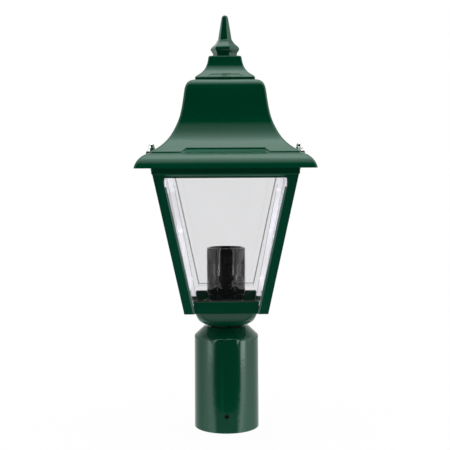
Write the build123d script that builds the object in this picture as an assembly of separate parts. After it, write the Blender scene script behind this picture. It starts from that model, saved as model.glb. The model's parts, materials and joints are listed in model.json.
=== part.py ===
from build123d import *
import math
import os

# Post-top lantern: four-sided tapered glazed cage, bell roof with a small
# second tier, hexagonal finial, and a round spigot that slips over a pole.
# Origin at the centre of the spigot's open bottom end, +Z up, front pane
# facing -Y.  Lengths are in millimetres.

os.makedirs("parts", exist_ok=True)

# --- Dimensions shared between sections ---

# Neck and spigot
TUBE_R = 10.0
TUBE_HOLE_R = TUBE_R + 0.05
NECK_R = 16.5

# Cage: the half width of its outer faces is a straight line in z
SLOPE = 0.2036
REF_HALF_WIDTH, REF_Z = 43.16, 128.44
COS_LEAN = 1 / math.hypot(1, SLOPE)
SIN_LEAN = SLOPE * COS_LEAN
POST_Z0 = 125.4
TUB_FLOOR = 128.2
TUB_TOP = 138.25
ON_FLOOR = TUB_FLOOR + 0.05     # underside of parts standing on the tub floor
FOOT_TOP = 133.9                # top of the solid foot inside the tub's corner

# Fixing positions
CAGE_SCREW_XY = 35.9
CAGE_SCREW_POINTS = [(i * CAGE_SCREW_XY, j * CAGE_SCREW_XY) for i in (-1, 1) for j in (-1, 1)]
BRACKET_SCREW_X = 31.3
EARTH_X, EARTH_Y = -BRACKET_SCREW_X, 19.0
BOLT_X = 77.5                   # hook bolts, left and right
HOOK_Z = 271.0                  # height of the bolts' inward legs
BOSS_Z = 289.6                  # spot-faced seat under each cap nut

# Panes and beads; insets are horizontal, from the cage's outer planes
PANE_INSET = 2.65
PANE_T = 3.2
PANE_Z0, PANE_Z1 = 139.5, 266.0
BEAD_NEAR, BEAD_MID, BEAD_FAR = 7.9, 10.7, 10.9
BEAD_FLAT = (BEAD_NEAR + BEAD_MID) / 2      # middle of the bead's diagonal flat
BEAD_SCREW_ZS = (152.0, 205.0, 250.0)


# --- Helpers ---

def taper(z):
    """Half width of the cage's outer faces at height z."""
    return REF_HALF_WIDTH + SLOPE * (z - REF_Z)


def save(shape, name):
    if isinstance(shape, (list, ShapeList)):
        shape = Compound(children=list(shape))
    shape.label = name
    export_step(shape, f"parts/{name}.step")


def cyl(r, z0, z1, x=0.0, y=0.0):
    return Pos(x, y, z0) * Cylinder(r, z1 - z0, align=(Align.CENTER, Align.CENTER, Align.MIN))


def ring(r_in, r_out, z0, z1, x=0.0, y=0.0):
    return cyl(r_out, z0, z1, x, y) - cyl(r_in, z0 - 1, z1 + 1, x, y)


def box(x0, x1, y0, y1, z0, z1):
    return Pos((x0 + x1) / 2, (y0 + y1) / 2, (z0 + z1) / 2) * Box(x1 - x0, y1 - y0, z1 - z0)


def hexagon(flats, z0, z1, x=0.0, y=0.0, turn=0.0):
    """Hexagonal bar, sized across its flats."""
    base = Pos(x, y, z0) * Rot(0, 0, turn) * RegularPolygon(flats / math.sqrt(3), 6)
    return extrude(base, amount=z1 - z0)


def hex_nut(flats, bore_r, z0, z1):
    return hexagon(flats, z0, z1) - cyl(bore_r, z0 - 1, z1 + 1)


def turned(points):
    """Solid of revolution from a closed (radius, z) outline."""
    return revolve(make_face(Plane.XZ * Polyline(*points, close=True)), Axis.Z)


def square(half, z, r):
    if r > 0:
        return Pos(0, 0, z) * RectangleRounded(2 * half, 2 * half, r)
    return Pos(0, 0, z) * Rectangle(2 * half, 2 * half)


def stack(sections):
    """Solid through squares given as (half width, z, corner radius)."""
    return loft([square(*section) for section in sections], ruled=True)


def prism(half0, half1, z0, z1, r=0.0):
    return stack([(half0, z0, r), (half1, z1, r)])


def square_ring(inner, outer, z0, z1, r_in, r_out):
    """Upright square ring between two half widths."""
    return prism(outer, outer, z0, z1, r_out) - prism(inner, inner, z0 - 1, z1 + 1, r_in)


def corner(insets, z0, z1):
    """Oblique bar up the +X+Y corner of the cage, following the taper.
    Its outline is given as distances in from the two outer planes."""
    points = [(taper(z0) - a, taper(z0) - b) for a, b in insets]
    outline = make_face(Pos(0, 0, z0) * Polyline(*points, close=True))
    direction = Vector(SLOPE, SLOPE, 1.0)
    return extrude(outline, amount=(z1 - z0) * direction.length, dir=direction)


def corner_box(a0, a1, b0, b1, z0, z1):
    return corner([(a0, b0), (a1, b0), (a1, b1), (a0, b1)], z0, z1)


def bar_x(points, half_length):
    """Bar along X, centred on the YZ plane, from a closed (y, z) outline."""
    outline = make_face(Plane.YZ * Polyline(*points, close=True))
    return extrude(outline, amount=half_length, both=True)


def side_recess(profile, half_length, right_edge, z0):
    """Front recess cutter: a bar along X trimmed to a symmetric plan, which
    is given by the (x, y) points of its right-hand edge."""
    left_edge = [(-x, y) for x, y in reversed(right_edge)]
    plan = Pos(0, 0, z0) * make_face(Polyline(*right_edge, *left_edge, close=True))
    return bar_x(profile, half_length) & extrude(plan, amount=20)


def four(shape):
    """Copies of a shape on all four sides or corners."""
    return [Rot(0, 0, 90 * i) * shape for i in range(4)]


def fuse(shapes):
    out = shapes[0]
    for shape in shapes[1:]:
        out = out + shape
    return out


# --- Spigot and grub screws ---
BORE_R = 30.5               # clears a 60.3 mm pole
BORE_LEN = 88.0             # the pole stops on an inner shoulder here
SPIGOT_R_BOTTOM, SPIGOT_R_TOP = 34.0, 33.6
CONE_Z = 96.4               # where the outer cone starts
SPIGOT_TOP_Z = 107.5
SPIGOT_TOP_R = 22.8
NECK_SEAT_Z = 103.5         # inner face the lower washer bears on
GRUB_Z = 18.0
GRUB_R = 2.45
GRUB_HOLE_R = 2.5
GRUB_ANGLES = {"a": -90.0, "b": 30.0, "c": 150.0}
SPIGOT = [                  # (radius, z)
    (BORE_R, 0.0), (SPIGOT_R_BOTTOM - 0.5, 0.0), (SPIGOT_R_BOTTOM, 0.5),
    (SPIGOT_R_TOP, CONE_Z - 0.6), (33.4, CONE_Z + 0.7), (32.9, CONE_Z + 1.6),
    (23.3, 107.0), (SPIGOT_TOP_R - 0.1, SPIGOT_TOP_Z),
    (TUBE_HOLE_R, SPIGOT_TOP_Z), (TUBE_HOLE_R, NECK_SEAT_Z), (17.3, NECK_SEAT_Z),
    (27.0, 94.0), (27.0, BORE_LEN), (BORE_R, BORE_LEN),
]
GRUB = [                    # (radius, distance out from the spigot's axis)
    (0, 30.65), (1.5, 30.65), (GRUB_R, 31.3), (GRUB_R, 33.0), (2.2, 33.25), (0, 33.25),
]


def grub_place(angle):
    """Local +Z points radially outward at the grub screws' height."""
    return Rot(0, 0, angle) * Pos(0, 0, GRUB_Z) * Rot(0, 90, 0)


spigot = turned(SPIGOT)
for angle in GRUB_ANGLES.values():
    spigot -= grub_place(angle) * cyl(GRUB_HOLE_R, 25, 37)
save(spigot, "pole_spigot")

# chamfered point inside, hex socket outside
grub = turned(GRUB) - hexagon(2.5, 31.9, 34.0)
for key, angle in GRUB_ANGLES.items():
    save(grub_place(angle) * grub, "grub_screw_" + key)

# --- Neck: hollow tube, nuts, washers, gasket, grommet ---
NECK_NUT_FLATS = 27.0
NECK_RINGS = {              # inner radius, outer radius, z0, z1
    "neck_tube": (7.0, TUBE_R, 92.0, 119.5),
    "neck_washer_lower": (TUBE_HOLE_R, 16.4, 101.9, NECK_SEAT_Z - 0.05),
    "neck_gasket": (10.3, NECK_R - 0.3, SPIGOT_TOP_Z + 0.02, 108.28),
    "neck_washer_upper": (TUBE_HOLE_R, 16.0, 113.35, 114.15),
}
for name, sizes in NECK_RINGS.items():
    save(ring(*sizes), name)
save(hex_nut(NECK_NUT_FLATS, TUBE_HOLE_R, 95.2, 101.85), "neck_nut_lower")
save(hex_nut(NECK_NUT_FLATS, TUBE_HOLE_R, 114.2, 119.0), "neck_nut_upper")

CABLE_R = 2.95
GROMMET_BORE_R = CABLE_R + 0.1
save(ring(GROMMET_BORE_R, 6.95, 92.0, 97.0) + ring(GROMMET_BORE_R, 9.5, 90.7, 92.0),
     "cable_grommet")

# --- Base bowl: round boss, square bowl, and the tub closing the cage ---
TUB_INSET = 2.6             # tub's outer face, in from the cage's outer plane
TUB_WALL_INSET = 6.9        # tub's inner face
BOWL_OUTER = [              # half width, z, corner radius
    (18.6, 108.6, 17.4), (20.6, 109.2, 17.6), (22.4, 110.1, 17.4), (24.4, 111.2, 16.8),
    (26.0, 112.4, 15.8), (27.1, 113.4, 14.6), (28.0, 114.5, 13.4), (28.7, 115.6, 12.4),
    (29.3, 116.8, 11.4), (29.8, 118.0, 10.6), (30.4, 119.3, 9.8), (31.0, 121.0, 9.0),
    (31.7, 123.0, 8.4), (32.4, POST_Z0, 7.8),
]
BOWL_INNER = [
    (17.0, 113.3, 14.5), (21.6, 115.1, 14.0), (24.0, 117.4, 12.4),
    (25.5, 120.0, 10.2), (26.6, 123.5, 8.4), (27.0, TUB_FLOOR + 0.5, 7.8),
]


def make_tub():
    rim_z = TUB_TOP - 0.7       # the rim is bevelled above this height
    tub = stack([(taper(POST_Z0) - TUB_INSET, POST_Z0, 0.6),
                 (taper(rim_z) - TUB_INSET, rim_z, 0.6),
                 (taper(TUB_TOP) - 3.2, TUB_TOP, 0.6)])
    tub -= prism(taper(TUB_FLOOR) - TUB_WALL_INSET, taper(TUB_TOP + 2) - TUB_WALL_INSET,
                 TUB_FLOOR, TUB_TOP + 2)
    # room for the cage posts in the corners
    for cut in four(corner_box(-3, 11.62, -3, 11.62, TUB_FLOOR, TUB_TOP + 1)):
        tub -= cut
    return tub


bowl = cyl(NECK_R, 108.3, 111.9) + stack(BOWL_OUTER) + make_tub()
bowl -= stack(BOWL_INNER)
bowl -= cyl(TUBE_HOLE_R, 100, 120)
for x, y in CAGE_SCREW_POINTS:
    bowl -= cyl(2.95, 124, 127.0, x, y)
    bowl -= cyl(1.6, 124, 130, x, y)
for x, y in ((-BRACKET_SCREW_X, 0), (BRACKET_SCREW_X, 0), (EARTH_X, EARTH_Y)):
    bowl -= cyl(2.0, 126.0, 130, x, y)
save(bowl, "base_bowl")

# --- Cage: four angle-section corner posts, top rail with a lip, collar ---
POST_LEG = 11.0             # width of each leg of the corner angle
POST_T = 2.5
EDGE_WIDTH, EDGE_DEPTH = 2.0, 1.7   # chamfer along the window openings
CORE_NEAR, CORE_FAR = 2.0, 6.6      # square core inside the angle
FOOT_FAR = 11.5
RAIL_Z0, RAIL_TOP = 261.0, 268.6
WINDOW_TOP = 263.6
STRIP_TOP = 265.3           # flat strip over the window, then a chamfer
STRIP_INSET = 1.8
CHAMFER_TOP = 266.9
LIP_HALF = 72.35
COLLAR_TOP = 279.0
COLLAR_MID = 274.6          # the collar is flush with the taper up to here
COLLAR_HALF, COLLAR_IN = 70.3, 65.2


def make_post():
    edge = POST_LEG - EDGE_WIDTH
    leg = corner([(0, 0), (edge, 0), (POST_LEG, EDGE_DEPTH), (POST_LEG, POST_T),
                  (POST_T, POST_T), (POST_T, POST_LEG), (EDGE_DEPTH, POST_LEG), (0, edge)],
                 POST_Z0, RAIL_TOP)
    core = corner_box(CORE_NEAR, CORE_FAR, CORE_NEAR, CORE_FAR, FOOT_TOP - 1.0, RAIL_TOP)
    foot = corner_box(CORE_NEAR, FOOT_FAR, CORE_NEAR, FOOT_FAR, ON_FLOOR, FOOT_TOP)
    return leg + core + foot


def window_head():
    """Cutter for the head of the front window opening."""
    outline = [(-80, 255), (-60, 255), (-60, WINDOW_TOP),
               (-(taper(WINDOW_TOP) - STRIP_INSET), WINDOW_TOP),
               (-(taper(STRIP_TOP) - STRIP_INSET), STRIP_TOP),
               (-(taper(CHAMFER_TOP) + 0.1), CHAMFER_TOP), (-80, CHAMFER_TOP)]
    return bar_x(outline, taper(WINDOW_TOP) - POST_LEG)


def bead_plane(z):
    """Plane on the bead's diagonal flat, its normal pointing out of the cage."""
    p = taper(z) - BEAD_FLAT
    normal = Vector(1, 1, -2 * SLOPE).normalized()
    return Plane(origin=(p, p, z), x_dir=(1, -1, 0), z_dir=normal)


rail = prism(taper(RAIL_Z0), taper(RAIL_TOP), RAIL_Z0, RAIL_TOP)
rail -= prism(taper(255) - POST_T, taper(275) - POST_T, 255, 275)
cage = fuse(four(make_post()) + [rail])
cage -= fuse(four(window_head()))

lip = stack([(taper(266.7), 266.7, 0.8), (LIP_HALF, 267.9, 0.8), (72.4, RAIL_TOP, 0.8)])
lip -= prism(69.3, 69.3, 260, 275)
collar = prism(COLLAR_HALF, COLLAR_HALF, 267.7, COLLAR_TOP, 1.5)
collar += prism(LIP_HALF, taper(COLLAR_MID), 267.95, COLLAR_MID, 1.2)
collar -= prism(COLLAR_IN, COLLAR_IN, 260, 285, 1.0)
cage = cage + lip + collar

for side in (-1, 1):
    cage -= Pos(side * 68, 0, HOOK_Z) * Rot(0, 90, 0) * Cylinder(2.1, 12)
for x, y in CAGE_SCREW_POINTS:
    cage -= cyl(1.5, 128, 136, x, y)
for z in BEAD_SCREW_ZS:
    for hole in four(bead_plane(z) * cyl(0.8, 2.0, 7.9)):
        cage -= hole
save(cage, "cage_frame")


def cage_screw(x, y):
    """Socket screw driven up from below the bowl into a post foot."""
    screw = cyl(2.8, 125.25, 126.95, x, y) + cyl(1.45, 126.9, 133.6, x, y)
    return screw - hexagon(2.5, 124, 126.2, x, y)


save([cage_screw(x, y) for x, y in CAGE_SCREW_POINTS], "cage_screws")

# --- Panes: flat outer face, groove inside along the sides and bottom ---
PANE_SIDE = 7.7             # pane edge, measured in from the cage corner
GROOVE_FLOOR = 2.3          # glass left under the groove
GROOVE_SIDE = (13.0, 14.1)  # side groove's two edges, from the pane's edge
GROOVE_FOOT = (15.1, 17.6)  # the wider groove along the bottom
GROOVE_WALL = 0.4           # run of each steep groove wall
FACE_Z = 200.0              # height of the face plane's origin
FACE = Plane(origin=(0, -taper(FACE_Z), FACE_Z), x_dir=(1, 0, 0),
             z_dir=(0, -COS_LEAN, -SIN_LEAN))


def trapezoid(v0, v1, inset, normal):
    """Outline parallel to the front face from slope height v0 to v1, inset
    from the cage corners and shifted along the outward normal."""
    half0 = taper(FACE_Z) + v0 * SIN_LEAN - inset
    half1 = taper(FACE_Z) + v1 * SIN_LEAN - inset
    points = [(-half0, v0), (half0, v0), (half1, v1), (-half1, v1)]
    plane = FACE.offset(normal)
    return make_face(plane * Polyline(*points, close=True))


def make_pane():
    bottom, top = [(z - FACE_Z) / COS_LEAN for z in (PANE_Z0, PANE_Z1)]
    outer = -PANE_INSET * COS_LEAN
    inner = outer - PANE_T
    floor = outer - GROOVE_FLOOR
    side0, side1 = [PANE_SIDE + g for g in GROOVE_SIDE]
    foot0, foot1 = [bottom + g for g in GROOVE_FOOT]
    # the trench runs past the inner face with its wall slope continued
    past = 0.2
    flare = GROOVE_WALL / (PANE_T - GROOVE_FLOOR) * past
    plate = loft([trapezoid(bottom - 2, top, PANE_SIDE, outer),
                  trapezoid(bottom - 2, top, PANE_SIDE, inner)], ruled=True)
    trench = loft([trapezoid(foot0 + GROOVE_WALL, top + 3, side0 + GROOVE_WALL, floor),
                   trapezoid(foot0 - flare, top + 3, side0 - flare, inner - past)], ruled=True)
    island = loft([trapezoid(foot1 - GROOVE_WALL, top, side1 - GROOVE_WALL, floor),
                   trapezoid(foot1, top, side1, inner)], ruled=True)
    pane = plate - trench + island
    # bottom edge cut level to stand on its strip
    return pane - box(-60, 60, -90, 0, 100, PANE_Z0)


for name, pane in zip(("front", "right", "rear", "left"), four(make_pane())):
    save(pane, "pane_" + name)

# --- Seals between panes and beads, seat strips under the panes ---
SEAL_IN = 6.70
SEAL_OUT = PANE_INSET + PANE_T / COS_LEAN + 0.05
SEAL_EDGES = (7.75, 10.4)
SEAL_ZS = (PANE_Z0 + 0.5, 263.0)
save(four(corner_box(*SEAL_EDGES, SEAL_OUT, SEAL_IN, *SEAL_ZS))
     + four(corner_box(SEAL_OUT, SEAL_IN, *SEAL_EDGES, *SEAL_ZS)), "pane_side_seals")

SEAT_Z0, SEAT_Z1 = TUB_TOP + 0.04, PANE_Z0 - 0.06
seat = bar_x([(-(taper(SEAT_Z0) - 3.4), SEAT_Z0), (-(taper(SEAT_Z0) - 6.7), SEAT_Z0),
              (-(taper(SEAT_Z1) - 6.6), SEAT_Z1), (-(taper(SEAT_Z1) - 3.2), SEAT_Z1)],
             taper(TUB_TOP) - 12.5)
save(four(seat), "pane_seat_strips")

# --- Glazing beads and their screws ---
BEAD_IN = 6.75
bead = corner([(BEAD_IN, BEAD_IN), (BEAD_FAR, BEAD_IN), (BEAD_FAR, BEAD_NEAR),
               (BEAD_MID, BEAD_NEAR), (BEAD_NEAR, BEAD_MID), (BEAD_NEAR, BEAD_FAR),
               (BEAD_IN, BEAD_FAR)], FOOT_TOP + 0.1, 263.5)
for z in BEAD_SCREW_ZS:
    bead -= bead_plane(z) * cyl(0.95, -1.0, 8.0)
save(four(bead), "glazing_beads")


def bead_screw(z):
    plane = bead_plane(z)
    screw = plane * cyl(1.8, -1.15, -0.03) + plane * cyl(0.75, -0.1, 6.9)
    return screw - plane * cyl(0.7, -2.0, -0.6)


save([screw for z in BEAD_SCREW_ZS for screw in four(bead_screw(z))], "bead_screws")

# --- Roof gasket and hook bolts ---
save(square_ring(65.6, 69.9, COLLAR_TOP + 0.02, 281.2, 0.8, 1.3), "roof_gasket")

BOLT_R = 1.95
BOLT_TOP = 297.0
HOOK_BEND_R = 3.2
HOOK_END_X = 63.2           # inner end of the inward leg


def hook_bolt():
    """Right-hand bolt: upright shank, quarter bend, leg pointing inward."""
    bend_x, bend_z = BOLT_X - HOOK_BEND_R, HOOK_Z + HOOK_BEND_R
    shank = cyl(BOLT_R, bend_z, BOLT_TOP, BOLT_X, 0)
    bend = revolve(Pos(BOLT_X, 0, bend_z) * Circle(BOLT_R),
                   Axis((bend_x, 0, bend_z), (0, 1, 0)), 90)
    leg = Pos(HOOK_END_X, 0, HOOK_Z) * Rot(0, 90, 0) * cyl(BOLT_R, 0, bend_x - HOOK_END_X)
    return shank + bend + leg


save(hook_bolt(), "hook_bolt_right")
save(Rot(0, 0, 180) * hook_bolt(), "hook_bolt_left")

# --- Roof: bell shell with a step above the eave ---
EAVE_Z = 273.2
ROOF_TOP_Z = 362.8
ROOF_T = 3.0
STUD_HOLE_R = 3.05
# Outer profiles as (half width, z), below and above the step
ROOF_LOW = [
    (88.1, EAVE_Z), (88.0, 274.6), (87.4, 276.5), (86.5, 278.5), (85.3, 280.5), (83.8, 282.4),
    (81.9, 284.2), (79.7, 285.9), (77.3, 287.1), (75.2, 287.85), (73.3, 288.3),
]
ROOF_HIGH = [
    (72.9, 289.45), (69.7, 291.4), (66.9, 293.3), (63.7, 295.6), (60.6, 298.3), (58.7, 300.3),
    (56.9, 302.3), (55.4, 304.3), (54.0, 306.4), (52.8, 308.4), (51.7, 310.4), (50.7, 312.4),
    (49.7, 314.4), (48.8, 316.4), (47.9, 318.4), (47.1, 320.5), (46.4, 322.5), (45.75, 324.5),
    (45.15, 326.7), (44.3, 330.5), (43.5, 334.5), (42.85, 338.5), (42.3, 342.0), (41.75, 346.0),
    (41.2, 350.0), (40.7, 353.0), (40.1, 355.3), (39.3, 357.4), (38.2, 359.2), (36.8, 360.7),
    (35.2, 361.8), (33.4, 362.5), (31.6, ROOF_TOP_Z),
]
ROOF_RECESS = [(-67.0, 297), (-67.0, 291.95), (-73.2, 288.45), (-76.0, 287.3), (-76.0, 297)]
ROOF_RECESS_EDGE = [(38.5, -60), (38.5, -67.0), (43.8, -73.3), (39.5, -77.0)]


def hip_radius(half):
    """Corner radius of the roof, growing where the top rounds over."""
    return 2.6 if half > 40.5 else 2.6 + (40.5 - half) * 0.35


def offset_profile(points, distance):
    """Shift an open (half width, z) profile inwards.  It runs bottom to
    top, so the inside lies to its left."""
    out = []
    for i, (half, z) in enumerate(points):
        half0, z0 = points[max(i - 1, 0)]
        half1, z1 = points[min(i + 1, len(points) - 1)]
        d_half, d_z = half1 - half0, z1 - z0
        length = math.hypot(d_half, d_z)
        out.append((half - d_z / length * distance, z + d_half / length * distance))
    return out


def roof_cavity():
    """Inner skin: one smooth run that ignores the step."""
    smooth = ROOF_LOW[:-2] + [(73.2, 288.9)] + ROOF_HIGH[1:-3]
    inner = offset_profile(smooth, ROOF_T)
    kept = [(smooth[0][0] - ROOF_T, EAVE_Z - 0.5)]
    # drop stations that crowd or fold back
    for half, z in inner[1:]:
        if z > kept[-1][1] + 0.25 and half < kept[-1][0]:
            kept.append((half, z))
    return stack([(half, z, 1.2) for half, z in kept if z < 358.0] + [(32.0, 359.8, 1.2)])


roof = stack([(half, z, hip_radius(half)) for half, z in ROOF_LOW + ROOF_HIGH])
roof -= roof_cavity()
# inner rib above the gasket
roof += square_ring(66.2, 70.2, 281.25, 288.6, 0.8, 1.3)
# shallow recess across the step on each side
for cut in four(side_recess(ROOF_RECESS, 60, ROOF_RECESS_EDGE, 285)):
    roof -= cut
# bolt bosses, spot-faced and drilled
for x in (-BOLT_X, BOLT_X):
    roof += cyl(6.0, 285.2, BOSS_Z, x, 0)
    roof -= cyl(6.4, BOSS_Z, 297.0, x, 0)
    roof -= cyl(2.25, 275, 295, x, 0)
roof -= cyl(STUD_HOLE_R, 355, 370)
save(roof, "roof_shell")

# --- Seals, washers and cap nuts on the hook bolts ---
save([ring(2.1, 5.6, BOSS_Z + 0.03, 290.95, x) for x in (-BOLT_X, BOLT_X)], "bolt_seals")
save([ring(2.1, 4.6, 290.98, 291.75, x) for x in (-BOLT_X, BOLT_X)], "bolt_washers")

NUT_ENVELOPE = [            # (radius, z), trims the hexagon's corners
    (0, 291.7), (3.7, 291.7), (4.1, 292.0), (4.1, 294.5), (3.5, 295.3), (0, 295.3),
]
NUT_DOME = [
    (0, 294.8), (3.2, 294.8), (3.2, 296.5), (3.1, 297.2), (2.8, 298.0), (2.3, 298.7),
    (1.6, 299.2), (0.8, 299.45), (0, 299.5),
]
cap_nut = hexagon(7.0, 291.8, 295.2, turn=15) & turned(NUT_ENVELOPE)
cap_nut = cap_nut + turned(NUT_DOME) - cyl(2.0, 290, 297.6)
save(Pos(-BOLT_X, 0, 0) * cap_nut, "cap_nut_left")
save(Pos(BOLT_X, 0, 0) * cap_nut, "cap_nut_right")

# --- Top cap and its gasket ---
CAP_OUTER = [               # (half width, z)
    (30.4, 363.35), (30.4, 365.2), (30.2, 365.35), (29.55, 366.3), (27.6, 367.75), (25.8, 369.0),
    (24.3, 370.2), (23.1, 371.35), (22.1, 372.5), (21.3, 373.6), (20.5, 374.8), (19.9, 375.9),
    (19.3, 377.1), (18.8, 378.4), (18.35, 379.8), (17.95, 381.2), (17.6, 383.0), (17.3, 384.8),
    (17.05, 386.2), (16.8, 387.1), (16.3, 387.8), (15.5, 388.2),
]
CAP_INNER = [
    (27.9, 362.8), (27.6, 364.6), (25.6, 366.3), (22.0, 369.0), (19.0, 372.4), (16.9, 376.4),
    (15.6, 380.4), (14.9, 385.2),
]
CAP_RECESS = [(-26.3, 372), (-26.3, 368.15), (-29.2, 366.0), (-31.5, 365.35), (-31.5, 372)]
CAP_RECESS_EDGE = [(14.0, -20), (14.0, -26.3), (16.6, -28.6), (16.6, -32)]

cap = stack([(half, z, 1.7) for half, z in CAP_OUTER])
cap -= stack([(half, z, 1.0) for half, z in CAP_INNER])
cap -= cyl(STUD_HOLE_R, 380, 395)
for cut in four(side_recess(CAP_RECESS, 20, CAP_RECESS_EDGE, 360)):
    cap -= cut
save(cap, "top_cap")
save(square_ring(24.0, 29.7, ROOF_TOP_Z + 0.02, 363.3, 1.0, 1.4), "cap_gasket")

# --- Finial and its stud, washer and nut ---
FINIAL_TURN = -10.0         # degrees; the flats are turned a little
FINIAL = [                  # z, radius to the hexagon's corners
    (388.25, 12.4), (388.7, 12.7), (391.9, 12.7), (393.0, 13.4), (395.4, 15.0), (396.5, 15.2),
    (397.4, 14.95), (398.6, 14.2), (399.6, 13.1), (400.5, 11.9), (401.6, 10.7), (402.8, 9.55),
    (403.9, 8.75), (405.2, 8.1), (405.6, 7.45), (407.6, 7.0), (411.8, 6.35), (416.0, 5.65),
    (420.0, 4.97), (424.1, 4.25), (427.2, 3.72), (428.9, 3.4), (430.0, 2.95), (430.8, 2.2),
    (431.25, 1.3),
]
finial = loft([Pos(0, 0, z) * Rot(0, 0, FINIAL_TURN) * RegularPolygon(r, 6) for z, r in FINIAL],
              ruled=True)
finial -= cyl(3.0, 385, 401)
save(finial, "finial")
save(cyl(2.95, 350.0, 400.5), "finial_stud")
save(ring(STUD_HOLE_R, 7.5, 358.4, 359.75), "stud_washer")
save(hex_nut(10.0, 3.0, 353.3, 358.35), "stud_nut")

# --- Lamp holder; outlines are (radius, z) ---
HOLDER_R = 20.1
HOLDER_TOP = 190.3
HOLDER_SPLIT = 141.4        # the cap ends and the skirt starts here
SHELL_R = 13.25             # screw shell, inside
HOLDER_WIRE_X, HOLDER_WIRE_Y = 7.0, 11.0
save(turned([
    (17.3, HOLDER_SPLIT + 0.1), (18.9, HOLDER_SPLIT + 0.1), (19.7, HOLDER_SPLIT + 0.7),
    (HOLDER_R, HOLDER_SPLIT + 1.8), (HOLDER_R, HOLDER_TOP - 0.9),
    (HOLDER_R - 0.25, HOLDER_TOP - 0.25), (HOLDER_R - 0.8, HOLDER_TOP),
    (18.1, HOLDER_TOP), (17.5, HOLDER_TOP - 0.5), (17.3, HOLDER_TOP - 1.2)]), "holder_skirt")

holder_cap = turned([
    (5.1, 131.25), (13.5, 131.25), (16.0, 132.0), (17.8, 133.6), (18.7, 136.0),
    (18.9, HOLDER_SPLIT), (16.9, HOLDER_SPLIT), (16.7, 137.0), (15.6, 134.9), (13.5, 134.0),
    (5.1, 134.0)])
for side in (-1, 1):
    holder_cap -= cyl(1.4, 130, 138, side * HOLDER_WIRE_X, HOLDER_WIRE_Y)
save(holder_cap, "holder_cap")

insert = cyl(16.6, 142.0, 148.0) - cyl(1.65, 140, 150)
insert -= ring(12.0, 14.6, 141, 143.5)
save(insert, "holder_insert")

save(turned([
    (13.8, 148.05), (16.2, 148.05), (16.2, 148.65), (14.35, 148.65), (14.35, 152.9),
    (13.75, 153.4), (13.75, 172.0), (SHELL_R, 172.0), (SHELL_R, 152.8), (13.8, 152.7)]),
    "screw_shell")

contact_head = turned([
    (0, 151.0), (3.0, 151.0), (3.5, 151.4), (3.2, 152.0), (2.0, 152.4), (0, 152.5)])
save(cyl(1.5, 143.5, 151.5) + contact_head, "centre_contact")

save(ring(3.5, 5.0, 125.9, 136.8), "holder_nipple")
save([hex_nut(14.0, 5.05, 126.0, 129.6), hex_nut(14.0, 5.05, 134.1, 136.6)], "holder_nuts")

# --- Holder bracket and its screws ---
BRACKET_HALF = 8            # half width along Y
BRACKET_TOP = 131.2
BRACKET_PLATES = [          # x0, x1, z0, z1: bridge, two feet, two risers
    (-26.0, 26.0, 129.7, BRACKET_TOP),
    (24.5, 35.0, ON_FLOOR, 129.75), (-35.0, -24.5, ON_FLOOR, 129.75),
    (24.5, 26.0, ON_FLOOR, BRACKET_TOP), (-26.0, -24.5, ON_FLOOR, BRACKET_TOP),
]
bracket = fuse([box(x0, x1, -BRACKET_HALF, BRACKET_HALF, z0, z1)
                for x0, x1, z0, z1 in BRACKET_PLATES])
bracket -= cyl(5.1, 120, 140)
for side in (-1, 1):
    bracket -= cyl(2.2, 120, 140, side * BRACKET_SCREW_X, 0)
save(bracket, "holder_bracket")


def pan_screw(x, y, seat_z):
    """Cross-slotted screw whose head sits at seat_z."""
    slot_z0, slot_z1 = seat_z + 1.2, seat_z + 3
    screw = Pos(x, y, 0) * turned([
        (0, 126.2), (1.6, 126.2), (1.95, 126.6), (1.95, seat_z), (3.5, seat_z),
        (3.5, seat_z + 1.2), (3.0, seat_z + 1.9), (2.0, seat_z + 2.2), (0, seat_z + 2.2)])
    screw -= box(x - 2.4, x + 2.4, y - 0.4, y + 0.4, slot_z0, slot_z1)
    screw -= box(x - 0.4, x + 0.4, y - 2.4, y + 2.4, slot_z0, slot_z1)
    return screw


save([pan_screw(side * BRACKET_SCREW_X, 0, 129.8) for side in (-1, 1)], "bracket_screws")

# --- Terminal block ---
TERMINAL_XS = (-8.5, 0, 8.5)
TERMINAL_Y = 30.2
block = box(-13, 13, 25.0, 35.3, ON_FLOOR, 137.4)
block = chamfer(block.edges().filter_by(Axis.X).group_by(Axis.Z)[-1], 1.2)
for x in TERMINAL_XS:
    block -= cyl(2.0, 133.0, 140, x, TERMINAL_Y)
    block -= Pos(x, 30, 131.2) * Rot(90, 0, 0) * Cylinder(0.9, 20)
save(block, "terminal_block")
save([cyl(1.9, 133.1, 136.2, x, TERMINAL_Y) - box(x - 2.5, x + 2.5, 29.9, 30.5, 135.4, 137)
      for x in TERMINAL_XS], "terminal_screws")

# --- Wiring ---
WIRE_R = 1.1


def wire(points, r, start_dir, end_dir, first=None, last=None):
    """Round lead along a smooth curve, with an optional straight run from
    the point first, or on to the point last."""
    run = [Spline(*[Vector(*p) for p in points], tangents=[Vector(*start_dir), Vector(*end_dir)])]
    if first:
        run.insert(0, Line(first, points[0]))
    if last:
        run.append(Line(points[-1], last))
    section = Plane(first or points[0], z_dir=Vector(*start_dir)) * Circle(r)
    return sweep(section, path=Wire([edge for piece in run for edge in piece.edges()]))


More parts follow.
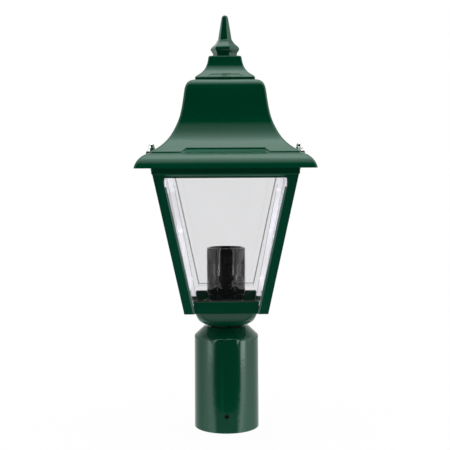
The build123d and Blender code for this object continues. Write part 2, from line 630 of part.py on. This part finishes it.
for name, side in (("live", -1), ("neutral", 1)):
    end_x = side * HOLDER_WIRE_X
    save(wire([(side * 6.0, 24.9, 131.4), (side * 6.2, 20.0, 129.6), (side * 6.7, 15.4, 127.2),
               (end_x, 11.6, 128.0), (end_x, HOLDER_WIRE_Y, 131.5)],
              WIRE_R, (0, -1, 0), (0, 0, 1), last=(end_x, HOLDER_WIRE_Y, 141.9)), "wire_" + name)
save(wire([(-13.1, 30.0, 131.6), (-17.0, 29.8, 131.6), (-20.8, 27.6, 130.8),
           (-24.6, 24.1, 129.85)], WIRE_R, (-1, 0, 0), (-1.3, -1.0, -0.2)), "wire_earth")
save(wire([(0, 0, 112.0), (0, 0.9, 117.4), (0, 3.9, 121.3), (0, 8.2, 122.8), (0, 13.4, 124.2),
           (0, 19.0, 128.6), (0, 24.8, 131.4)],
          CABLE_R, (0, 0, 1), (0, 1, 0), first=(0, 0, 89.5)), "supply_cable")

# --- Earth lug, its tang turned towards the wire, and its screw ---
LUG_T = 0.8
LUG_TOP = ON_FLOOR + LUG_T
LUG_BORE_R = 2.1
TANG_ANGLE = math.degrees(math.atan2(1.0, 1.3))
lug = ring(LUG_BORE_R, 3.9, ON_FLOOR, LUG_TOP, EARTH_X, EARTH_Y)
tang = Pos(EARTH_X, EARTH_Y, ON_FLOOR + LUG_T / 2) * Rot(0, 0, TANG_ANGLE)
tang = tang * (Pos(4.6, 0, 0) * Box(3.4, 3.0, LUG_T))
save(lug + (tang - cyl(LUG_BORE_R, 128, 130, EARTH_X, EARTH_Y)), "earth_lug")
save(pan_screw(EARTH_X, EARTH_Y, LUG_TOP + 0.05), "earth_screw")
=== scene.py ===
"""Green enamelled lantern on a pole spigot, with glass panes in a cast cage.

Metres, +Z up. The lantern stands upright, its front facing -Y, where the
camera is; +X is to the camera's right. The CAD pieces keep their shape: they
are cleaned, rounded at the edges and given procedural finishes. The floor and
the world do all the lighting.
"""
import json
import math
import bpy
import bmesh
from mathutils import Matrix

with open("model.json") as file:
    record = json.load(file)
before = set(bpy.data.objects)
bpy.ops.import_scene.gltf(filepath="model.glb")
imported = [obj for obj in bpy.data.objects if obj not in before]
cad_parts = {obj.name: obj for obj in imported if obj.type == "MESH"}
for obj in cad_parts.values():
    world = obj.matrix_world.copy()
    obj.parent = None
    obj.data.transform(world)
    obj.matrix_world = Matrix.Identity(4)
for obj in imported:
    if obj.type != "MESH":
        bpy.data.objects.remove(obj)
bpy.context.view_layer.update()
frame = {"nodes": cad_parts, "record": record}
NODES = frame["nodes"]
scene = bpy.context.scene

MM = 1e-3
TO_DEGREES = 180.0 / math.pi


# ---------------------------------------------------------------------------
# Shader kit
# ---------------------------------------------------------------------------
def grey(level):
    return (level,) * 3


class Shader:
    """Node tree of a material or world, with short calls to build it."""

    def __init__(self, owner, output="OutputMaterial"):
        owner.use_nodes = True
        self.owner = owner
        self.tree = owner.node_tree
        self.tree.nodes.clear()
        self.out = self.node(output)

    def feed(self, socket, value):
        """Set a socket to a number or colour, or link it; None leaves it alone."""
        if value is None:
            return
        if isinstance(value, (int, float)):
            socket.default_value = value
        elif isinstance(value, tuple):
            socket.default_value = (*value, 1.0)
        else:
            if isinstance(value, bpy.types.Node):
                value = value.outputs[0]
            self.tree.links.new(value, socket)

    def node(self, kind, slots=None, **settings):
        """Add a node. slots feeds inputs by index; a capitalised setting feeds
        the input of that name, any other sets a property."""
        node = self.tree.nodes.new("ShaderNode" + kind)
        for name, value in settings.items():
            if name[0].isupper():
                self.feed(node.inputs[name.replace("_", " ")], value)
            else:
                setattr(node, name, value)
        for index, value in (slots or {}).items():
            self.feed(node.inputs[index], value)
        return node

    def finish(self, shader):
        """Send the shader to the output; return the finished owner."""
        self.feed(self.out.inputs["Surface"], shader)
        return self.owner

    def coords(self):
        place = self.node("TexCoord").outputs["Object"]
        return self.node("Mapping", Vector=place).outputs["Vector"]

    def noise(self, vector, scale, detail=3.0, rough=0.55):
        return self.node("TexNoise", Scale=scale, Detail=detail, Roughness=rough,
                         Vector=vector).outputs["Fac"]

    def ramp(self, value, stops):
        ramp = self.node("ValToRGB", Fac=value)
        elements = ramp.color_ramp.elements
        while len(elements) < len(stops):
            elements.new(0.5)
        for element, (position, colour) in zip(elements, stops):
            element.position = position
            element.color = (*colour, 1.0)
        return ramp.outputs["Color"]

    def tones(self, value, low, high, at=(0.3, 0.7)):
        """Blend between two colours, by default over a noise's usual range."""
        return self.ramp(value, [(at[0], low), (at[1], high)])

    def curve(self, angle, points, top):
        """Piecewise-linear value over (degrees, value) points; top is the
        value that the ramp's full white stands for."""
        low, high = points[0][0], points[-1][0]
        along = self.remap(angle, (low, high))
        stops = [((x - low) / (high - low), grey(y / top)) for x, y in points]
        return self.multiply(self.ramp(along, stops), top)

    def remap(self, value, span=(0.3, 0.7), to=(0.0, 1.0)):
        return self.node("MapRange", From_Min=span[0], From_Max=span[1],
                         To_Min=to[0], To_Max=to[1], Value=value).outputs["Result"]

    def math(self, operation, first, second=None, clamp=False):
        return self.node("Math", {0: first, 1: second},
                         operation=operation, use_clamp=clamp).outputs[0]

    def multiply(self, first, second):
        return self.math("MULTIPLY", first, second)

    def add(self, first, second):
        return self.math("ADD", first, second)

    def mix(self, share, first, second, blend="MIX"):
        return self.node("Mix", {0: share, 6: first, 7: second},
                         data_type="RGBA", blend_type=blend).outputs[2]

    def mix_values(self, share, first, second):
        return self.node("Mix", {0: share, 2: first, 3: second}, data_type="FLOAT").outputs[0]

    def bump(self, height, strength, distance, normal=None):
        return self.node("Bump", Strength=strength, Distance=distance,
                         Height=height, Normal=normal).outputs["Normal"]

    def edges(self, span=(0.52, 0.62)):
        """1 on sharp convex edges, 0 on flats and in corners."""
        return self.remap(self.node("NewGeometry").outputs["Pointiness"], span)

    def light_edges(self, base, light, share, gain, lift):
        """Brighten the edges towards light * gain + lift."""
        edge_colour = tuple(min(1, c * gain + lift) for c in light)
        return self.mix(self.multiply(self.edges(), share), base, edge_colour)

    def separate(self, vector):
        return self.node("SeparateXYZ", Vector=vector).outputs

    def ray_direction(self):
        """X, Y and Z of the direction of travel of the ray being shaded."""
        incoming = self.node("NewGeometry").outputs["Incoming"]
        travel = self.node("VectorMath", operation="SCALE", Scale=-1.0, Vector=incoming)
        return [self.separate(travel)[axis] for axis in "XYZ"]

    def azimuth(self, x, y):
        """Degrees from -Y, the camera's side, positive towards +X."""
        return self.multiply(self.math("ARCTAN2", x, self.multiply(y, -1.0)), TO_DEGREES)

    def straight_view(self, path):
        """1 for camera rays, also through glass, with no mirror bounce on the way."""
        unmirrored = self.remap(path["Glossy Depth"], span=(0.4, 0.6), to=(1.0, 0.0))
        ahead = self.multiply(path["Is Transmission Ray"], unmirrored)
        return self.math("MAXIMUM", path["Is Camera Ray"], ahead)


def new_material(name):
    return Shader(bpy.data.materials.new(name))


# ---------------------------------------------------------------------------
# Finishes; dark and light are the ends of the base colour, rough the ends of
# the roughness, grain the scale of the fine texture
# ---------------------------------------------------------------------------
def green_paint(name, wave=0.0):
    """Gloss enamel on cast aluminium: faint orange peel, a little tone variation, a lighter
    green on sharp edges and specks of dust; wave is the strength of the slow unevenness of a
    hand-dressed casting."""
    mat = new_material(name)
    coords = mat.coords()
    broad = mat.noise(coords, scale=9.0, detail=2.0)
    fine = mat.noise(coords, scale=620.0, detail=2.0, rough=0.5)
    peel = mat.noise(coords, scale=260.0, detail=2.0, rough=0.45)
    speck = mat.node("TexVoronoi", Scale=130.0, Vector=coords)
    base = mat.tones(broad, low=(0.0002, 0.066, 0.0290), high=(0.0004, 0.075, 0.0345))
    edge = mat.multiply(mat.edges(span=(0.515, 0.60)), 0.35)
    base = mat.mix(edge, base, (0.006, 0.120, 0.070))
    dust = mat.remap(speck.outputs["Distance"], span=(0.0, 0.05), to=(0.25, 0.0))
    base = mat.mix(dust, base, (0.008, 0.10, 0.055))
    rough = mat.remap(broad, to=(0.05, 0.09))
    rough = mat.add(rough, mat.multiply(dust, 0.25))
    normal = mat.bump(peel, strength=0.035, distance=0.0006)
    normal = mat.bump(fine, strength=0.012, distance=0.0003, normal=normal)
    if wave:
        uneven = mat.noise(coords, scale=85.0, detail=2.0, rough=0.6)
        normal = mat.bump(uneven, strength=wave, distance=0.0012, normal=normal)
    return mat.finish(mat.node(
        "BsdfPrincipled", Base_Color=base, Roughness=rough, Normal=normal, IOR=1.50,
        Coat_Weight=0.0, Specular_Tint=(0.76, 1.0, 0.94)))


def clear_glass(name):
    """Plate glass with faint smears: refracts for the camera, lets light
    through to what is behind it."""
    mat = new_material(name)
    coords = mat.coords()
    smear = mat.noise(coords, scale=24.0, detail=4.0)
    waviness = mat.noise(coords, scale=7.0, detail=1.0)
    rough = mat.remap(smear, span=(0.45, 0.75), to=(0.0, 0.012))
    tint = mat.tones(smear, low=(0.958, 0.958, 0.961), high=(0.966, 0.966, 0.970), at=(0.3, 0.8))
    normal = mat.bump(waviness, strength=0.02, distance=0.0008)
    glass = mat.node("BsdfGlass", IOR=1.50, Color=tint, Roughness=rough, Normal=normal)
    clear = mat.node("BsdfTransparent", Color=(0.95, 0.96, 0.96))
    path = mat.node("LightPath").outputs
    lighting = mat.math("MAXIMUM", path["Is Shadow Ray"], path["Is Diffuse Ray"])
    return mat.finish(mat.node("MixShader", {0: lighting, 1: glass, 2: clear}))


def plastic(name, dark, light, rough, grain=420.0, strength=0.05, coat=0.0):
    mat = new_material(name)
    coords = mat.coords()
    broad = mat.noise(coords, scale=40.0)
    fine = mat.noise(coords, scale=grain, detail=2.0)
    base = mat.tones(broad, dark, light)
    base = mat.light_edges(base, light, share=0.4, gain=1.8, lift=0.01)
    return mat.finish(mat.node(
        "BsdfPrincipled", Base_Color=base, Roughness=mat.remap(fine, to=rough),
        Normal=mat.bump(fine, strength, distance=0.0004), IOR=1.5,
        Coat_Weight=coat, Coat_Roughness=0.04))


def metal(name, dark, light, rough):
    mat = new_material(name)
    coords = mat.coords()
    fine = mat.noise(coords, scale=700.0)
    broad = mat.noise(coords, scale=60.0)
    base = mat.tones(broad, dark, light)
    base = mat.light_edges(base, light, share=0.5, gain=1.25, lift=0.05)
    return mat.finish(mat.node(
        "BsdfPrincipled", Base_Color=base, Metallic=1.0, Roughness=mat.remap(fine, to=rough),
        Normal=mat.bump(fine, strength=0.06, distance=0.0003)))


def milky(name, dark, light, through, glow):
    """White plastic that lets a share of the light through; glow sets an emission of painted
    light that lifts the plastic where the lighting leaves it grey."""
    mat = new_material(name)
    coords = mat.coords()
    broad = mat.noise(coords, scale=30.0)
    fine = mat.noise(coords, scale=500.0, detail=2.0)
    base = mat.tones(broad, dark, light)
    normal = mat.bump(fine, strength=0.05, distance=0.0003)
    # the emission is painted light: the plastic glows though no lamp is in it
    surface = mat.node(
        "BsdfPrincipled", Base_Color=base, Roughness=mat.remap(fine, to=(0.28, 0.42)),
        Normal=normal, Emission_Color=base, Emission_Strength=glow)
    inside = mat.node("BsdfTranslucent", Color=base, Normal=normal)
    return mat.finish(mat.node("MixShader", {0: through, 1: surface, 2: inside}))


def striped(name, first, second, period):
    """Two-colour insulation, striped across a slope in X and Z."""
    mat = new_material(name)
    coords = mat.coords()
    axes = mat.separate(coords)
    along = mat.add(mat.multiply(axes["X"], 1.0 / period), mat.multiply(axes["Z"], 0.9 / period))
    colour = mat.tones(mat.math("FRACT", along), first, second, at=(0.48, 0.52))
    fine = mat.noise(coords, scale=900.0)
    return mat.finish(mat.node(
        "BsdfPrincipled", Base_Color=colour, Roughness=mat.remap(fine, to=(0.3, 0.42)),
        Normal=mat.bump(fine, strength=0.05, distance=0.0003)))


def insulation(colour, dark, light):
    return plastic("insulation_" + colour, dark, light, rough=(0.3, 0.42), grain=700.0)


MATS = {
    "green_paint": green_paint("green_gloss_enamel"),
    "clear_glass": clear_glass("clear_grooved_glass"),
    "black_phenolic": plastic(
        "black_phenolic", dark=(0.006, 0.006, 0.007), light=(0.011, 0.011, 0.013),
        rough=(0.035, 0.06), grain=300.0, strength=0.012, coat=0.3),
    "stainless": metal(
        "stainless_steel", dark=grey(0.86), light=(0.94, 0.94, 0.95), rough=(0.16, 0.28)),
    "zinc_steel": metal(
        "zinc_plated_steel", dark=(0.42, 0.43, 0.45), light=(0.60, 0.61, 0.62),
        rough=(0.28, 0.42)),
    "brass": metal(
        "nickel_brass", dark=(0.55, 0.40, 0.17), light=(0.72, 0.56, 0.27), rough=(0.18, 0.30)),
    "black_rubber": plastic(
        "black_rubber", dark=grey(0.008), light=grey(0.016),
        rough=(0.5, 0.65), grain=500.0, strength=0.12),
    # the glazing beads carry a painted glow, an emission that brightens them
    "white_bead": milky(
        "white_glazing_bead", dark=(0.84, 0.83, 0.85), light=(0.93, 0.92, 0.95),
        through=0.30, glow=0.62),
    "black_oxide": metal(
        "black_oxide_steel", dark=(0.020, 0.020, 0.021), light=(0.045, 0.045, 0.047),
        rough=(0.30, 0.45)),
    "black_nylon": plastic(
        "black_nylon", dark=grey(0.010), light=grey(0.020),
        rough=(0.35, 0.5), grain=500.0, strength=0.08),
    "white_insert": plastic(
        "steatite", dark=(0.60, 0.57, 0.50), light=(0.72, 0.70, 0.64),
        rough=(0.45, 0.6), grain=600.0, strength=0.1),
    "wire_brown": insulation("brown", dark=(0.10, 0.035, 0.012), light=(0.15, 0.055, 0.02)),
    "wire_blue": insulation("blue", dark=(0.012, 0.06, 0.30), light=(0.02, 0.09, 0.42)),
    # the green and the yellow are darker than the insulation's own: painted shade that keeps the
    # earth wire dim inside the tub
    "wire_green_yellow": striped(
        "insulation_green_yellow", first=(0.012, 0.085, 0.014), second=(0.16, 0.135, 0.012),
        period=0.006),
    "cable_sheath": plastic(
        "cable_sheath", dark=(0.010, 0.010, 0.011), light=(0.020, 0.020, 0.021),
        rough=(0.4, 0.55), grain=600.0, strength=0.08),
}
CASTING = green_paint("green_gloss_enamel_on_casting", wave=0.055)
SLOT = {part["node"]: part["material_slot"] for part in frame["record"]["subparts"]}

# ---------------------------------------------------------------------------
# CAD pieces: weld, merge flat facets, round the edges
# ---------------------------------------------------------------------------
# node: (edge radius in mm, bevel segments, smallest angle rounded in degrees);
# with no radius the angle is where the shading splits
FINISH = {
    "pole_spigot": (0.35, 3, 30), "base_bowl": (0.45, 3, 32), "cage_frame": (0.35, 3, 25),
    "roof_shell": (0.40, 3, 24), "top_cap": (0.35, 3, 24), "finial": (0.28, 3, 18),
    "holder_skirt": (0.0, 0, 40), "holder_cap": (0.2, 2, 40),
    "cap_nut_left": (0.12, 2, 28), "cap_nut_right": (0.12, 2, 28),
}
FINISH_OTHER = (0.12, 2, 35)
FINISH_PANE = (0.0, 0, 2.0)
FINISH_UNROUNDED = (0.0, 0, 35)
PANE_SIDES = ("front", "rear", "left", "right")
UNROUNDED = ("wire_live", "wire_neutral", "wire_earth", "supply_cable", "glazing_beads",
             "pane_side_seals", "terminal_screws", "bead_screws", "centre_contact")
WELD_DISTANCE = 2e-6
FLAT_ANGLE = math.radians(0.25)
ROUNDED_SPLIT = 38          # degrees at which shading splits on a rounded piece


def finish_of(name):
    if name in UNROUNDED:
        return FINISH_UNROUNDED
    if name.startswith("pane_") and name.split("_")[1] in PANE_SIDES:
        return FINISH_PANE
    return FINISH.get(name, FINISH_OTHER)


def polish(piece, radius, segments, angle):
    mesh = piece.data
    for name in ("custom_normal", "sharp_edge", "sharp_face"):
        if name in mesh.attributes:
            mesh.attributes.remove(mesh.attributes[name])
    mesh.polygons.foreach_set("use_smooth", [True] * len(mesh.polygons))
    weld = piece.modifiers.new("weld", "WELD")
    weld.merge_threshold = WELD_DISTANCE
    flat = piece.modifiers.new("flat", "DECIMATE")
    flat.decimate_type = "DISSOLVE"
    flat.angle_limit = FLAT_ANGLE
    if radius > 0:
        bevel = piece.modifiers.new("round", "BEVEL")
        bevel.width = radius * MM
        bevel.segments = segments
        bevel.limit_method = "ANGLE"
        bevel.angle_limit = math.radians(angle)
        bevel.harden_normals = False
        bevel.use_clamp_overlap = True
        bevel.miter_outer = "MITER_ARC"
    split = piece.modifiers.new("split", "EDGE_SPLIT")
    split.split_angle = math.radians(ROUNDED_SPLIT if radius > 0 else angle)
    split.use_edge_sharp = False
    if radius > 0:
        weighted = piece.modifiers.new("wn", "WEIGHTED_NORMAL")
        weighted.mode = "FACE_AREA_WITH_ANGLE"
        weighted.weight = 60
        weighted.keep_sharp = True


for name, piece in NODES.items():
    piece.data.materials.clear()
    piece.data.materials.append(MATS[SLOT[name]])
    polish(piece, *finish_of(name))
NODES["pole_spigot"].data.materials[0] = CASTING

# ---------------------------------------------------------------------------
# Surroundings: white, with a dark sector on the camera's side, a tall soft
# light to either side of it and a bright ceiling
# ---------------------------------------------------------------------------
# (azimuth in degrees, radiance) seen in reflections that leave downwards
SURROUND = [
    (-180, 0.9), (-150, 0.8), (-118, 0.58), (-100, 0.62), (-84, 1.1), (-70, 1.65), (-57, 1.85),
    (-49, 0.65), (-41, 0.08), (-33, 0.0), (42, 0.0), (49, 0.25), (54, 2.2), (60, 3.0),
    (66, 2.7), (74, 1.8), (84, 1.35), (110, 0.8), (135, 0.7), (180, 0.9)]
# the same just below the horizon, as off the lamp holder, where the lamps
# show as narrow upright strips
SURROUND_LOW = [
    (-180, 0.6), (-150, 0.12), (-130, 0.08), (-112, 0.6), (-96, 0.85), (-80, 1.5), (-74, 2.9),
    (-70, 2.9), (-65, 0.8), (-57, 0.2), (-50, 0.3), (-47, 7.6), (-41, 7.6), (-37, 0.5),
    (-31, 0.2), (-24, 0.0), (30, 0.0), (38, 0.2), (40.5, 7.0), (45.5, 7.0), (49, 0.4),
    (56, 0.35), (64, 0.9), (68, 3.2), (73, 3.2), (78, 1.9), (98, 1.8), (106, 0.9),
    (124, 0.15), (150, 0.12), (180, 0.6)]
# and above the horizon, as off the roof and the nuts
SURROUND_UP = [
    (-180, 0.9), (-150, 0.7), (-118, 0.75), (-104, 0.9), (-84, 1.0), (-64, 0.9), (-54, 0.4),
    (-46, 0.5), (-44, 2.7), (-36, 2.7), (-33, 0.0), (36, 0.0), (39, 0.1), (41, 2.6), (47, 2.6),
    (49, 0.35), (55, 0.5), (64, 1.2), (94, 1.6), (118, 1.1), (150, 0.8), (180, 0.9)]
# (elevation in degrees, radiance) added in reflections
CEILING = [(0, 0.0), (48, 0.0), (52, 0.45), (57, 0.90), (70, 1.9), (83, 2.9), (90, 3.2)]
# light on the matt part of the finish, by azimuth and by elevation
FILL = [
    (-180, 1.0), (-110, 0.85), (-75, 0.9), (-55, 0.55), (-42, 0.10), (-35, 0.02), (35, 0.02),
    (42, 0.12), (55, 0.6), (75, 1.0), (110, 0.95), (180, 1.0)]
FILL_UP = [(0, 0.0), (40, 0.0), (60, 0.8), (75, 3.2), (90, 4.4)]

FLOOR_HALF = 60.0
FLOOR_CELLS = 8


def low_surroundings(mat, azimuth, ray_z):
    """What reflections that leave below the horizon see past the table."""
    # lower down the spigot the lamps close in, and their tops flare
    depth = mat.remap(ray_z, span=(-0.225, -0.270), to=(0.0, 0.6))
    sideways = mat.multiply(mat.math("ABSOLUTE", azimuth), 1.0 / 90.0)
    squeeze = mat.multiply(depth, mat.math("SUBTRACT", 1.0, sideways, clamp=True))
    squeezed = mat.multiply(azimuth, mat.add(squeeze, 1.0))
    near_top = mat.remap(ray_z, span=(-0.199, -0.188), to=(0.0, 0.9))
    inward = mat.remap(mat.math("ABSOLUTE", azimuth), span=(66.0, 76.0), to=(1.0, 0.0))
    flare = mat.add(1.0, mat.multiply(near_top, inward))
    steady = mat.multiply(mat.curve(squeezed, SURROUND, top=4.0), flare)
    shallow = mat.remap(ray_z, span=(-0.165, -0.135))
    return mat.mix(shallow, steady, mat.curve(azimuth, SURROUND_LOW, top=8.0))


def table_top(mat, position, azimuth, ray_z, path, surroundings):
    """White satin table that mirrors the surroundings at a grazing angle."""
    table = mat.tones(mat.noise(position, scale=3.0), low=grey(0.90), high=grey(0.94))
    steep = mat.remap(ray_z, span=(-0.30, -0.55))
    grazing = mat.mix(1.0, surroundings, grey(0.25), blend="LIGHTEN")
    table = mat.mix(steep, grazing, table)
    # painted shadow: in steep reflections, as off the bowl's underside, the table next to the
    # lantern is darkened as if the lantern shaded it
    down = mat.remap(ray_z, span=(-0.80, -0.90), to=(0.0, 0.9))
    inward = mat.remap(mat.math("ABSOLUTE", azimuth), span=(50.0, 75.0), to=(1.0, 0.0))
    shade = mat.multiply(mat.multiply(down, inward), path["Is Glossy Ray"])
    return mat.mix(shade, table, grey(0.03))


def pale_floor():
    mat = new_material("pale_floor")
    position = mat.node("NewGeometry").outputs["Position"]
    place = mat.separate(position)
    path = mat.node("LightPath").outputs
    ray_x, ray_y, ray_z = mat.ray_direction()
    azimuth = mat.azimuth(ray_x, ray_y)
    surroundings = low_surroundings(mat, azimuth, ray_z)
    # in reflections the table ends a little in front of the lantern
    reach = mat.remap(ray_z, span=(-0.45, -0.60), to=(0.0, 0.2))
    beyond = mat.remap(mat.add(place["Y"], reach), span=(-0.122, -0.112), to=(1.0, 0.0))
    table = table_top(mat, position, azimuth, ray_z, path, surroundings)
    seen = mat.mix(beyond, table, surroundings)
    fill = mat.curve(mat.azimuth(ray_x, ray_y), FILL, top=2.0)
    fill = mat.mix(beyond, grey(0.75), fill)
    seen = mat.mix(path["Is Diffuse Ray"], seen, fill)
    seen = mat.mix(mat.straight_view(path), seen, grey(1.0))
    matt = mat.node("BsdfDiffuse", Color=grey(0.02))
    glow = mat.node("Emission", Color=seen, Strength=0.97)
    return mat.finish(mat.node("AddShader", {0: matt, 1: glow}))


def build_floor():
    mesh = bpy.data.meshes.new("floor")
    grid = bmesh.new()
    bmesh.ops.create_grid(grid, x_segments=FLOOR_CELLS, y_segments=FLOOR_CELLS, size=FLOOR_HALF)
    grid.to_mesh(mesh)
    grid.free()
    floor = bpy.data.objects.new("floor", mesh)
    scene.collection.objects.link(floor)
    mesh.materials.append(pale_floor())


def studio_world():
    sky = Shader(bpy.data.worlds.new("studio"), output="OutputWorld")
    ray_x, ray_y, ray_z = sky.ray_direction()
    elevation = sky.multiply(sky.math("ARCSINE", ray_z), TO_DEGREES)
    sides = sky.curve(sky.azimuth(ray_x, ray_y), SURROUND_UP, top=3.0)
    ceiling = sky.curve(elevation, CEILING, top=4.0)
    # the side lights dim towards their tops
    strip_top = sky.remap(elevation, span=(25, 45), to=(1.0, 0.55))
    level = sky.add(sky.multiply(sides, strip_top), ceiling)
    path = sky.node("LightPath").outputs
    fill = sky.curve(sky.azimuth(ray_x, ray_y), FILL, top=2.0)
    fill = sky.add(fill, sky.curve(elevation, FILL_UP, top=5.0))
    level = sky.mix_values(path["Is Diffuse Ray"], level, fill)
    level = sky.mix_values(sky.straight_view(path), level, 1.0)
    return sky.finish(sky.node("Background", Color=grey(1.0), Strength=level))


build_floor()
scene.world = studio_world()

# ---------------------------------------------------------------------------
# Camera in front, looking along +Y and slightly down
# ---------------------------------------------------------------------------
CAMERA_PLACE = (-0.00084, -0.98175, 0.27331)
CAMERA_DOWN = 3.4886        # degrees below level
CAMERA_ROLL = -0.30         # degrees; the lantern leans a touch to the left

lens = bpy.data.cameras.new("camera")
lens.lens = 74.8
lens.sensor_width = 36.0
lens.clip_start = 0.02
camera = bpy.data.objects.new("camera", lens)
camera.location = CAMERA_PLACE
tilt = Matrix.Rotation(math.radians(90 - CAMERA_DOWN), 3, "X")
roll = Matrix.Rotation(math.radians(CAMERA_ROLL), 3, "Z")
camera.rotation_euler = (tilt @ roll).to_euler()
scene.collection.objects.link(camera)
scene.camera = camera

scene.view_settings.view_transform = "Standard"
scene.view_settings.look = "None"
scene.view_settings.exposure = 0.0
